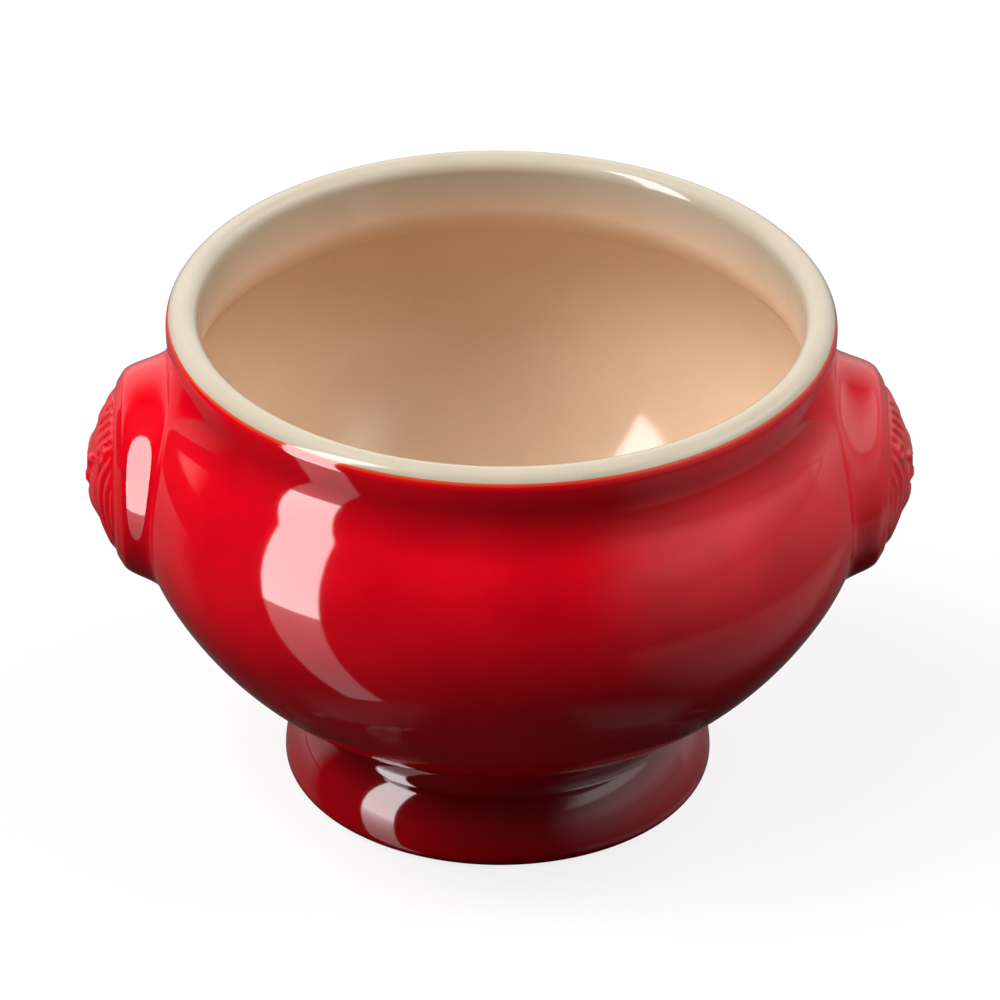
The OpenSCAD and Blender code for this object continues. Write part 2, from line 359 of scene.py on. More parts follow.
    def lip_top(self, d: float) -> Run:
        """Walks the lip from the end of the red coat to its inner side, set back by d mm."""
        return (arc(self.lip, self.s.lip_round - d, self.s.red_line_angle, 90, pitch=3)
                + arc(self.inner_lip, self.inner_round - d, 90, 180, pitch=3))

    def inside(self, d: float) -> Run:
        """Walks the inside from the lip down to the middle of the floor.

        Args:
            d: The set-back, in mm.

        Returns:
            The points.
        """
        s = self.s
        return ([(self.lip_r + d, self.inner_lip[1])]
                + arc(self.ridge, s.ridge_round - d, 180, 180 + self.ridge_angle)
                + arc(self.belly, self.bore_round + d, self.ridge_angle, -s.flank_angle)
                + arc(self.flank, self.flank_round - s.wall_t + d, -s.flank_angle, -s.base_angle, pitch=1)
                + arc(self.base, self.base_round - s.wall_t + d, -s.base_angle, -90)
                + [(0.0, self.base_z + s.wall_t - d)])

    def foot_side(self, d: float, start: float) -> Run:
        """Walks the outside of the foot down to the glaze line.

        Args:
            d: The set-back, in mm.
            start: The angle at which the fillet under the bowl starts, in degrees.

        Returns:
            The points.
        """
        s = self.s
        return (arc(self.waist, s.waist_round + d, start, 180, pitch=3)
                + arc(self.flare, self.flare_round + d, 180, 180 + self.flare_angle, pitch=2)
                + arc(self.roll, self.roll_round - d, self.flare_angle, 0, pitch=2)
                + arc(self.heel, s.heel_round - d, 0, -s.heel_line_angle, pitch=4))

    def hollow_side(self, d: float, end: float) -> Run:
        """Walks the foot's hollow from the glaze line up to the underside of the bowl.

        Args:
            d: The set-back, in mm.
            end: The angle at which the top corner ends, in degrees.

        Returns:
            The points.
        """
        s = self.s
        return (arc(self.ring, s.ring_round - d, 180 + s.heel_line_angle, 180 + self.hollow_angle, pitch=5)
                + arc(self.hollow, s.hollow_round + d, self.hollow_angle, end, pitch=4))


class ShapeTree:
    """A Geometry Nodes tree that takes a shape, named sizes and a finish, and gives a finished piece."""

    def __init__(self, name: str, sizes: dict[str, str]) -> None:
        """Makes the tree with its inputs and its output.

        Args:
            name: The tree's name.
            sizes: The kind of socket of each size, by the size's name.
        """
        self.tree = bpy.data.node_groups.new(name, "GeometryNodeTree")
        face = self.tree.interface
        kinds = {"Shape": "Geometry", **sizes, "Finish": "Material"}
        self.keys = {key: face.new_socket(key, in_out="INPUT", socket_type="NodeSocket" + kind).identifier
                     for key, kind in kinds.items()}
        face.new_socket("Dressed", in_out="OUTPUT", socket_type="NodeSocketGeometry")
        self.given = add_node(self.tree, "NodeGroupInput").outputs

    def end(self, shape: Node) -> None:
        """Ends the tree: smooth shading, real geometry and the finish.

        Args:
            shape: The node that gives the shape.
        """
        smooth = add_node(self.tree, "GeometryNodeSetShadeSmooth", {"Geometry": shape})
        real = add_node(self.tree, "GeometryNodeRealizeInstances", {"Geometry": smooth})
        dressed = add_node(self.tree, "GeometryNodeSetMaterial",
                           {"Geometry": real, "Material": self.given["Finish"]})
        add_node(self.tree, "NodeGroupOutput", {"Dressed": dressed})

    def piece(self, name: str, mesh: Mesh, values: dict[str, Any], sharp: float) -> Object:
        """Runs the tree on a mesh and takes the result as a plain one, with its faces outwards.

        Args:
            name: The piece's name.
            mesh: The shape that the tree starts from.
            values: The sizes and the finish, by name.
            sharp: Edges over this many degrees stay crisp.

        Returns:
            The finished object at the origin.
        """
        holder = stand(mesh.name, mesh)
        modifier = holder.modifiers.new(self.tree.name, "NODES")
        modifier.node_group = self.tree
        for key, value in values.items():
            modifier[self.keys[key]] = value
        bpy.context.view_layer.update()
        graph = bpy.context.evaluated_depsgraph_get()
        result = bpy.data.meshes.new_from_object(holder.evaluated_get(graph), depsgraph=graph)
        holder.modifiers.clear()
        bpy.data.objects.remove(holder)
        work = bmesh.new()
        work.from_mesh(result)
        bmesh.ops.recalc_face_normals(work, faces=work.faces)
        work.to_mesh(result)
        work.free()
        result.set_sharp_from_angle(angle=math.radians(sharp))
        result.name = name
        return stand(name, result)


class PottersWheel(ShapeTree):
    """Turns a section round the crock's axis, as the wheel does."""

    facets = 288
    sharp = 35.0
    # Radius of the circle that the section is swept along, from which the section is measured back
    path = 10 * MM
    # Points that turn on the axis become one within this distance
    weld = 1e-7
    # Points of a section are one within this distance, in mm
    same_mm = 1e-4

    def __init__(self) -> None:
        """Builds the tree once for all the turned pieces."""
        super().__init__("potters_wheel",
                         {"Path radius": "Float", "Facets": "Int", "Weld distance": "Float"})
        tree, given = self.tree, self.given
        section = add_node(tree, "GeometryNodeMeshToCurve", {"Mesh": given["Shape"]})
        circle = add_node(tree, "GeometryNodeCurvePrimitiveCircle",
                          {"Resolution": given["Facets"], "Radius": given["Path radius"]})
        upright = add_node(tree, "GeometryNodeSetCurveNormal", {"Curve": circle}, mode="Z_UP")
        turned = add_node(tree, "GeometryNodeCurveToMesh", {"Curve": upright, "Profile Curve": section})
        self.end(add_node(tree, "GeometryNodeMergeByDistance",
                          {"Geometry": turned, "Distance": given["Weld distance"]}))

    def turn(self, name: str, section: Run, finish: Material) -> Object:
        """Turns one section into a closed mesh.

        Args:
            name: The piece's name.
            section: The outline, in mm. It closes on itself unless it starts and ends on the axis.
            finish: The piece's material.

        Returns:
            The finished object at the origin.
        """
        points = [section[0]]
        for p in section[1:]:
            if math.dist(p, points[-1]) > self.same_mm:
                points.append(p)
        closed = max(points[0][0], points[-1][0]) > self.same_mm
        if closed and math.dist(points[0], points[-1]) < self.same_mm:
            points.pop()
        count = len(points)
        edges = [(i, (i + 1) % count) for i in range(count if closed else count - 1)]
        mesh = bpy.data.meshes.new(name + "_section")
        mesh.from_pydata([(r * MM - self.path, -z * MM, 0) for r, z in points], edges, [])
        values = {"Path radius": self.path, "Facets": self.facets, "Weld distance": self.weld,
                  "Finish": finish}
        return self.piece(name, mesh, values, self.sharp)


def fade_up(tree: NodeTree, place: NodeSocket, span_mm: tuple[float, float], lower: Any,
            upper: Any) -> NodeSocket:
    """Adds a colour that changes softly with height.

    Args:
        tree: The material's tree.
        place: The place on the object.
        span_mm: The heights at which the change starts and ends, in mm.
        lower: The colour below them, as a value, a node or a socket.
        upper: The colour above them, likewise.

    Returns:
        The colour's socket.
    """
    height = add_node(tree, "ShaderNodeSeparateXYZ", {"Vector": place}).outputs["Z"]
    start, end = span_mm
    share = add_node(tree, "ShaderNodeMapRange",
                     {"Value": height, "From Min": start * MM, "From Max": end * MM},
                     interpolation_type="SMOOTHSTEP")
    return add_node(tree, "ShaderNodeMix", {"Factor": share, MIX_FROM: lower, MIX_TO: upper},
                    data_type="RGBA").outputs[MIXED]


@dataclass(frozen=True)
class Skin:
    """What the eye sees of a fired surface beside its colour: its gloss and its bumps."""

    roughness: float
    bump: float
    bump_mm: float
    ior: float = 1.5

    def end(self, tree: NodeTree, colour: NodeSocket, height: Node) -> None:
        """Ends a material with its bumps, its shader and its output.

        Args:
            tree: The material's tree.
            colour: The surface's colour.
            height: The node that the bumps follow.
        """
        bumps = add_node(tree, "ShaderNodeBump",
                         {"Height": height, "Strength": self.bump, "Distance": self.bump_mm * MM})
        shader = add_node(tree, "ShaderNodeBsdfPrincipled",
                          {"Base Color": colour, "Roughness": self.roughness, "IOR": self.ior,
                           "Normal": bumps})
        add_node(tree, "ShaderNodeOutputMaterial", {"Surface": shader})


@dataclass(frozen=True)
class RedGlaze:
    """Selenium red stoneware glaze, dipped and fired glossy.

    The eye sees one deep red with slightly darker clouds, which thins on its upper edge and is a darker red
    on the foot, under a skin as smooth as glass whose reflections waver slightly.
    """

    body: str = "#ea081d"
    cloud: str = "#d40016"
    thin: str = "#e2502a"
    deep: str = "#ae0010"
    deep_mm: tuple[float, float] = (12.0, 21.0)
    thin_mm: tuple[float, float] = (0.7, 0.1)
    cloud_mm: float = 18.0
    ripple_mm: float = 9.0
    skin: Skin = Skin(roughness=0.06, bump=0.25, bump_mm=0.06)

    def material(self, name: str, edge: float) -> Material:
        """Builds the glaze.

        Args:
            name: The material's name.
            edge: Height in mm at which the coat ends and has thinned to orange.

        Returns:
            The material.
        """
        mat, tree, place = new_material(name)
        drift = add_node(tree, "ShaderNodeTexNoise",
                         {"Vector": place, "Scale": 1 / (self.cloud_mm * MM), "Detail": 3.0,
                          "Roughness": 0.5})
        clouds = add_node(tree, "ShaderNodeValToRGB", {"Fac": drift})
        set_stops(clouds.color_ramp, (0.3, self.cloud), (0.7, self.body))
        # Darker red towards the foot, turning into the clouded red between the two heights of deep_mm
        foot_darkened = fade_up(tree, place, self.deep_mm, linear(self.deep), clouds)
        start, end = (edge - below for below in self.thin_mm)
        thinned = fade_up(tree, place, (start, end), foot_darkened, linear(self.thin))
        ripple = add_node(tree, "ShaderNodeTexNoise",
                          {"Vector": place, "Scale": 1 / (self.ripple_mm * MM), "Detail": 1.0})
        self.skin.end(tree, thinned, ripple)
        return mat


@dataclass(frozen=True)
class EarthGlaze:
    """A cream or tan lining glaze, fired glossy over pale stoneware.

    The eye sees a milky colour with faint clouds where the coat lies thicker, and a few iron specks.
    Where one glaze runs over another, the upper one fades into it over some millimetres.
    """

    body: str
    cloud: str
    speck: str = "#8a6544"
    speck_mm: float = 1.4
    speck_share: float = 0.07
    cloud_mm: float = 14.0
    ripple_mm: float = 7.0
    skin: Skin = Skin(roughness=0.1, bump=0.2, bump_mm=0.05)
    above: Optional["EarthGlaze"] = None
    fade_mm: tuple[float, float] = (0.0, 1.0)

    def material(self, name: str) -> Material:
        """Builds the glaze.

        Args:
            name: The material's name.

        Returns:
            The material.
        """
        mat, tree, place = new_material(name)
        drift = add_node(tree, "ShaderNodeTexNoise",
                         {"Vector": place, "Scale": 1 / (self.cloud_mm * MM), "Detail": 4.0,
                          "Roughness": 0.55})
        clouded = [add_node(tree, "ShaderNodeMix",
                            {"Factor": drift, MIX_FROM: linear(glaze.cloud), MIX_TO: linear(glaze.body)},
                            data_type="RGBA").outputs[MIXED] for glaze in (self, self.above) if glaze]
        colour = fade_up(tree, place, self.fade_mm, *clouded) if self.above else clouded[0]
        cells = add_node(tree, "ShaderNodeTexVoronoi", {"Vector": place, "Scale": 1 / (self.speck_mm * MM)})
        dots = add_node(tree, "ShaderNodeMapRange",
                        {"Value": cells, "From Min": self.speck_share, "From Max": 0.0})
        specked = add_node(tree, "ShaderNodeMix",
                           {"Factor": dots, MIX_FROM: colour, MIX_TO: linear(self.speck)}, data_type="RGBA")
        ripple = add_node(tree, "ShaderNodeTexNoise",
                          {"Vector": place, "Scale": 1 / (self.ripple_mm * MM), "Detail": 1.0})
        self.skin.end(tree, specked.outputs[MIXED], ripple)
        return mat


@dataclass(frozen=True)
class BareStoneware:
    """Fired stoneware with its glaze wiped off, ground flat so that it stands.

    The eye sees a dry pale buff with fine grit and no gloss.
    """

    body: str = "#d9c9ac"
    grit: str = "#a58a63"
    grit_mm: float = 0.5
    skin: Skin = Skin(roughness=0.85, bump=0.6, bump_mm=0.08)

    def material(self, name: str) -> Material:
        """Builds the bare clay.

        Args:
            name: The material's name.

        Returns:
            The material.
        """
        mat, tree, place = new_material(name)
        grain = add_node(tree, "ShaderNodeTexNoise",
                         {"Vector": place, "Scale": 1 / (self.grit_mm * MM), "Detail": 6.0,
                          "Roughness": 0.7})
        tint = add_node(tree, "ShaderNodeValToRGB", {"Fac": grain})
        set_stops(tint.color_ramp, (0.25, self.grit), (0.5, self.body))
        self.skin.end(tree, tint.outputs["Color"], grain)
        return mat


def adopt(piece: Object, node: str) -> None:
    """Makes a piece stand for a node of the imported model.

    Args:
        piece: The finished object.
        node: The node that it replaces.
    """
    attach(piece, "root")
    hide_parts(node)
    lo, hi = Vector(piece.bound_box[0]), Vector(piece.bound_box[6])
    size = [round(v / MM, 1) for v in hi - lo]
    LOG.info("%s replaces %s: %d faces, %s mm", piece.name, node, len(piece.data.polygons), size)


@dataclass(frozen=True)
class Form:
    """One rounded form of the lion's face, as shares of the mask's radius and of the dome's height."""

    side: float
    up: float
    half_w: float
    half_h: float
    relief: float
    turn: float = 0
    squareness: float = 1

    def at(self, p: np.ndarray, q: np.ndarray) -> np.ndarray:
        """Height of the form.

        Args:
            p: Places to the side, as shares of the mask's radius.
            q: Places upwards, as shares of the mask's radius.

        Returns:
            The heights, as shares of the dome's height.
        """
        cos, sin = math.cos(math.radians(self.turn)), math.sin(math.radians(self.turn))
        run, rise = np.abs(p) - self.side, q - self.up
        a, b = (run * cos + rise * sin) / self.half_w, (rise * cos - run * sin) / self.half_h
        return self.relief * np.exp(-(a * a + b * b) ** self.squareness)


# Style of the mane, as shares of the mask's radius, but for the groove: how round it is between two locks,
# as a share of their height. The locks leave the ear free
MANE = {"Bow above": 0.55, "Bow below": 0.19, "Hair start": 0.5, "Hair full": 0.72, "Fade start": 0.86,
        "Fade end": 1.0, "Parting": 0.1, "Groove": 0.3, "Ear side": 0.53, "Ear height": 0.5,
        "Ear half width": 0.17, "Ear half height": 0.15}

# The formula of the locks: the name of each result, the operation, and the names or numbers that it takes
LOCK_STEPS = (
    ("across", "DIVIDE", "Y", "Mask radius"),
    ("side", "ABSOLUTE", "across"),
    ("rise", "SUBTRACT", "Z", "Centre height"),
    ("up", "DIVIDE", "rise", "Mask radius"),
    ("up squared", "MULTIPLY", "up", "up"),
    ("reach squared", "MULTIPLY_ADD", "side", "side", "up squared"),
    ("reach", "SQRT", "reach squared"),
    ("in upper half", "GREATER_THAN", "up", 0.0),
    ("bow gain", "SUBTRACT", "Bow above", "Bow below"),
    ("bow", "MULTIPLY_ADD", "in upper half", "bow gain", "Bow below"),
    ("bend", "MULTIPLY", "bow", "up squared"),
    ("combed share", "SUBTRACT", "side", "bend"),
    ("combed side", "MULTIPLY", "combed share", "Mask radius"),
    ("locks passed", "DIVIDE", "combed side", "Lock pitch"),
    ("phase", "MULTIPLY", "locks passed", math.pi),
    ("sine", "SINE", "phase"),
    ("groove squared", "MULTIPLY", "Groove", "Groove"),
    ("wave squared", "MULTIPLY_ADD", "sine", "sine", "groove squared"),
    ("wave", "SQRT", "wave squared"),
    ("crest squared", "ADD", "groove squared", 1.0),
    ("crest", "SQRT", "crest squared"),
    ("relief", "SUBTRACT", "wave", "crest"),
    ("grown", "SMOOTHSTEP", "reach", "Hair start", "Hair full"),
    ("faded", "SMOOTHSTEP", "reach", "Fade start", "Fade end"),
    ("not faded", "SUBTRACT", 1.0, "faded"),
    ("parted", "SMOOTHSTEP", "side", 0.0, "Parting"),
    ("ear run", "SUBTRACT", "side", "Ear side"),
    ("ear across", "DIVIDE", "ear run", "Ear half width"),
    ("ear rise", "SUBTRACT", "up", "Ear height"),
    ("ear up", "DIVIDE", "ear rise", "Ear half height"),
    ("ear up squared", "MULTIPLY", "ear up", "ear up"),
    ("ear squared", "MULTIPLY_ADD", "ear across", "ear across", "ear up squared"),
    ("ear fourth", "MULTIPLY", "ear squared", "ear squared"),
    ("ear fall", "MULTIPLY", "ear fourth", -1.0),
    ("ear", "EXPONENT", "ear fall"),
    ("off the ear", "SUBTRACT", 1.0, "ear"),
)
# What the relief of the locks is multiplied by
LOCK_SHARES = ("grown", "not faded", "parted", "off the ear", "Lock depth", "Side")


class ManeComb(ShapeTree):
    """Combs a mask's front into locks.

    They fall from a parting at the crown, bow outwards round the face and pass behind the ears.
    """

    sharp = 60.0

    def __init__(self) -> None:
        """Builds the tree once for both heads."""
        sizes = ("Mask radius", "Centre height", "Lock pitch", "Lock depth", *MANE, "Side")
        super().__init__("mane_locks", dict.fromkeys(sizes, "Float"))
        tree = self.tree
        known: dict[Any, Any] = {name: self.given[name] for name in sizes}
        where = add_node(tree, "GeometryNodeInputPosition")
        known.update(zip("XYZ", add_node(tree, "ShaderNodeSeparateXYZ", {0: where}).outputs))
        for name, operation, *operands in LOCK_STEPS:
            kind, setting = "ShaderNodeMath", "operation"
            if operation == "SMOOTHSTEP":
                kind, setting = "ShaderNodeMapRange", "interpolation_type"
            values = {place: known.get(operand, operand) for place, operand in enumerate(operands)}
            known[name] = add_node(tree, kind, values, **{setting: operation})
        shift = known["relief"]
        for name in LOCK_SHARES:
            shift = add_node(tree, "ShaderNodeMath", {0: shift, 1: known[name]}, operation="MULTIPLY")
        front = add_node(tree, "GeometryNodeInputNamedAttribute", {"Name": "front"}, data_type="BOOLEAN")
        self.end(add_node(tree, "GeometryNodeSetPosition",
                          {"Geometry": self.given["Shape"], "Selection": front.outputs["Attribute"],
                           "Offset": add_node(tree, "ShaderNodeCombineXYZ", {0: shift})}))


@dataclass
class LionHead:
    """A handle: a round boss luted to the belly, with a lion's mask in low relief."""

    side: Side
    s: CrockSizes
    outline: Outline
    finish: Material
    rings: int = 150
    back_rings: int = 12
    rays: int = 300
    # Height of the plain dome, measured as the forms are, and width of the groove round the mask as a
    # share of its radius
    dome: float = 1.4
    notch: float = 0.05
    # The front stands over the red coat by the rise, and dives under it along its last stretch, in mm
    rise: float = 0.02
    dive: float = 0.06
    dive_w: float = 1.2
    # Room between the back and the clay, in mm
    slip_gap: float = 0.05
    forms: tuple[Form, ...] = (
        # Brow and its furrow, bridge of the nose and its tip
        Form(0, 0.44, 0.2, 0.16, 0.1, 0, 1.2), Form(0, 0.38, 0.04, 0.14, -0.07),
        Form(0, 0.1, 0.11, 0.26, 0.2, 0, 1.6), Form(0, -0.1, 0.15, 0.075, 0.16, 0, 1.8),
        # Wings of the nose and its holes
        Form(0.1, -0.12, 0.06, 0.05, 0.08, 0, 1.4), Form(0.085, -0.165, 0.045, 0.03, -0.16, 25),
        # Muzzle and its cleft, mouth and chin
        Form(0.17, -0.32, 0.2, 0.15, 0.27, -18, 1.6), Form(0, -0.29, 0.03, 0.12, -0.14),
        Form(0.13, -0.47, 0.19, 0.05, -0.2, -16, 1.2), Form(0, -0.59, 0.14, 0.09, 0.24, 0, 1.5),
        # Ridges over the eyes, sockets, eyeballs and cheeks
        Form(0.22, 0.27, 0.17, 0.06, 0.26, 24, 1.5), Form(0.25, 0.14, 0.12, 0.07, -0.3, -10, 1.4),
        Form(0.25, 0.13, 0.062, 0.04, 0.26, -10, 1.3), Form(0.43, 0.02, 0.12, 0.2, 0.14, 20, 1.3),
        # Ears and their hollows
        Form(0.53, 0.5, 0.14, 0.12, 0.3, -30, 1.8), Form(0.535, 0.495, 0.075, 0.06, -0.26, -30, 1.4),
    )

    def skin(self, y: np.ndarray, z: np.ndarray, d: float) -> np.ndarray:
        """Distance of the bowl from the Y-Z plane.

        Args:
            y: Places along Y, in mm.
            z: Heights from the table, in mm.
            d: The set-back from the glaze, in mm.

        Returns:
            The distances, in mm.
        """
        points = self.outline.bowl_side(d)
        radius = np.interp(z, [p[1] for p in points], [p[0] for p in points])
        return np.sqrt(radius ** 2 - y ** 2)

    def face(self, p: np.ndarray, q: np.ndarray) -> np.ndarray:
        """Relief of the mask without its hair.

        Args:
            p: Places to the side, as shares of the mask's radius.
            q: Places upwards, as shares of the mask's radius.

        Returns:
            The relief as shares of the dome's height.
        """
        return np.maximum(1 - p * p - q * q, 0) * (self.dome + sum(f.at(p, q) for f in self.forms))

    def front(self, y: np.ndarray, z: np.ndarray) -> np.ndarray:
        """Front of the handle without its hair.

        Args:
            y: Places along Y, in mm.
            z: Heights from the handle's centre, in mm.

        Returns:
            Distances from the Y-Z plane, in mm.
        """
        s = self.s
        mask_r, root_r = s.mask_r, s.root_r
        rho = np.hypot(y, z)
        midline = np.linspace(-1, 1, 201)
        relief = s.mask_h * self.face(y / mask_r, z / mask_r) / self.face(0 * midline, midline).max()
        fall = s.boss_fall * np.maximum((rho - mask_r) / (root_r - mask_r), 0)
        notch = s.notch_depth * np.exp(-((rho / mask_r - 1) / self.notch) ** 2)
        boss = s.belly_d / 2 + s.boss_out - fall - notch + relief
        skin = self.skin(y, s.handle_z + z, 0)
        edge = self.rise - self.dive * soft_step(root_r - self.dive_w, root_r, rho)
        return skin + (boss - skin) * (1 - soft_step(mask_r + s.collar_w, root_r, rho)) + edge

    def shell(self, name: str) -> Mesh:
        """Makes the closed mesh of the handle: rings over its front, then back against the clay.

        Args:
            name: The mesh's name.

        Returns:
            The mesh, in metres, whose points on the front are marked.
        """
        s = self.s
        rays = np.linspace(0, 2 * np.pi, self.rays, endpoint=False)
        radii = s.root_r * np.concatenate([np.arange(1, self.rings + 1) / self.rings,
                                           np.arange(self.back_rings, 0, -1) / self.back_rings])
        y = np.concatenate([[0], np.outer(radii, np.sin(rays)).ravel(), [0]])
        z = np.concatenate([[0], np.outer(radii, np.cos(rays)).ravel(), [0]])
        fronts = 1 + self.rings * self.rays
        x = np.concatenate([self.front(y[:fronts], z[:fronts]),
                            self.skin(y[fronts:], s.handle_z + z[fronts:], s.coat_t) + self.slip_gap])
        corners = np.stack([self.side.value * x, y, s.handle_z + z], 1) * MM
        outermost, last = len(radii) - 1, len(corners) - 1

        def at(ring: int, ray: int) -> int:
            """The corner at one ring and one ray."""
            return 1 + ring * self.rays + ray % self.rays

        faces = [(0, at(0, k), at(0, k + 1)) for k in range(self.rays)]
        faces += [(at(i, k), at(i + 1, k), at(i + 1, k + 1), at(i, k + 1))
                  for i in range(outermost) for k in range(self.rays)]
        faces += [(last, at(outermost, k + 1), at(outermost, k)) for k in range(self.rays)]
        mesh = bpy.data.meshes.new(name)
        mesh.from_pydata(corners.tolist(), [], faces)
        mark = mesh.attributes.new("front", "BOOLEAN", "POINT")
        mark.data.foreach_set("value", (np.arange(len(corners)) < fronts).tolist())
        return mesh

    def build(self, comb: ManeComb) -> Object:
        """Models the head, combs its mane and puts it in its node's place.

        Args:
            comb: The tree that combs it.

        Returns:
            The finished object.
        """
        s, side = self.s, self.side.name.lower()
        values = {"Mask radius": s.mask_r * MM, "Centre height": s.handle_z * MM,
                  "Lock pitch": s.lock_pitch * MM, "Lock depth": s.lock_depth * MM, **MANE,
                  "Side": float(self.side.value), "Finish": self.finish}
        piece = comb.piece("lion_" + side, self.shell(f"lion_{side}_mask"), values, comb.sharp)
        adopt(piece, "handle_" + side)
        return piece


@dataclass
class Crock:
    """The whole crock: clay, coats and handles."""

    s: CrockSizes = field(default_factory=CrockSizes)
    red: RedGlaze = RedGlaze()
    cream: EarthGlaze = EarthGlaze("#bfb3a1", "#b4a893")
    clay: BareStoneware = BareStoneware()
    # The tan starts to change this far below the bowl's top, in mm, and is all cream this far over the
    # lip's inner centre
    fade_below: float = 13.0
    fade_over: float = 0.5

    def build(self) -> None:
        """Builds every piece in the place of the node that it stands for."""
        s, o, wheel, comb = self.s, Outline(self.s), PottersWheel(), ManeComb()
        d = s.coat_t
        red_edge = o.lip[1] + s.lip_round * math.sin(math.radians(s.red_line_angle))
        fade = (s.bowl_h - self.fade_below, o.inner_lip[1] + self.fade_over)
        lining = EarthGlaze("#dfc2a7", "#d4b697", above=self.cream, fade_mm=fade)
        red = self.red.material("selenium_red_glaze", red_edge)
        cream = self.cream.material("cream_lip_glaze")
        tan = lining.material("tan_lining_glaze")
        clay = self.clay.material("bare_buff_stoneware")
        start = 180 - o.waist_angle
        # Name, node, slot, section and finish of every turned piece
        turned = (
            ("bowl_clay", "bowl_body", "bare_clay",
             [(0.0, o.base_z + d)] + o.underside(d, o.flat_r, o.seam_end)
             + o.bowl_side(d) + o.lip_top(d) + o.inside(d), clay),
            ("foot_clay", "foot", "bare_clay",
             o.underside(d, o.seam_in, o.seam_out) + o.foot_side(d, start + o.fillet_angle)
             + [(o.heel[0], 0.0), (o.ring[0], 0.0)] + o.hollow_side(d, o.pool_angle), clay),
            ("tan_lining", "inner_glaze", "tan_glaze", o.inside(0) + o.inside(d)[::-1], tan),
            ("cream_lip", "rim_glaze", "cream_glaze", o.lip_top(0) + o.lip_top(d)[::-1], cream),
            ("red_coat", "outer_glaze", "red_glaze", o.bowl_side(0) + o.bowl_side(d)[::-1], red),
            ("red_foot_coat", "foot_glaze", "red_glaze",
             o.foot_side(0, start) + o.foot_side(d, start + o.fillet_angle)[::-1]
             + o.underside(d, o.seam_out, o.seam_end), red),
            ("red_hollow_coat", "recess_glaze", "red_glaze",
             [(0.0, o.base_z)] + o.hollow_side(0, 90)[::-1] + o.hollow_side(d, o.pool_angle)
             + o.underside(d, o.flat_r, o.seam_in)[::-1] + [(0.0, o.base_z + d)], red),
        )
        for name, node, slot, section, finish in turned:
            adopt(wheel.turn(name, section, finish), node)
        for side in Side:
            LionHead(side, s, o, red).build(comb)


@dataclass(frozen=True)
class Softbox:
    """A flat rectangular lamp beside or over the table, in metres and degrees.

    Azimuth 0 is the camera's side, and a positive one lies towards +X. A lamp stands upright with a
    lean of 0 degrees and faces straight down with one of 90. It may be left out of the light that falls
    on things, or of what their gloss mirrors.
    """

    name: str
    azimuth: float
    distance: float
    height: float
    width: float
    length: float
    lean: float
    radiance: float
    lights: bool = True
    mirrored: bool = True

    def place(self) -> None:
        """Stands the lamp in the scene, facing the axis of the table."""
        lamp = bpy.data.lights.new(self.name, "AREA")
        lamp.shape = "RECTANGLE"
        lamp.size, lamp.size_y = self.width, self.length
        lamp.energy = self.radiance * math.pi * self.width * self.length
        turn, lean = math.radians(self.azimuth), math.radians(self.lean)
        out = Vector((math.sin(turn), -math.cos(turn), 0))
        inward = Vector((-out.x * math.cos(lean), -out.y * math.cos(lean), -math.sin(lean)))
        up = Vector((-out.x * math.sin(lean), -out.y * math.sin(lean), math.cos(lean)))
        across = up.cross(-inward)
        holder = stand(self.name, lamp)
        holder.visible_diffuse, holder.visible_glossy = self.lights, self.mirrored
        spot = Matrix.Translation(out * self.distance + Vector((0, 0, self.height)))
        holder.matrix_world = spot @ Matrix((across, up, -inward)).transposed().to_4x4()


@dataclass(frozen=True)
class Sheet:
    """A soft sheet of light far round the table, which only gloss mirrors.

    Each band of a sheet names a part of the direction that it lies in, and gives where the sheet starts
    in that part and where it is full. "sideways" is the size of X, whatever its sign.
    """

    strength: float
    bands: tuple[tuple[str, float, float], ...]


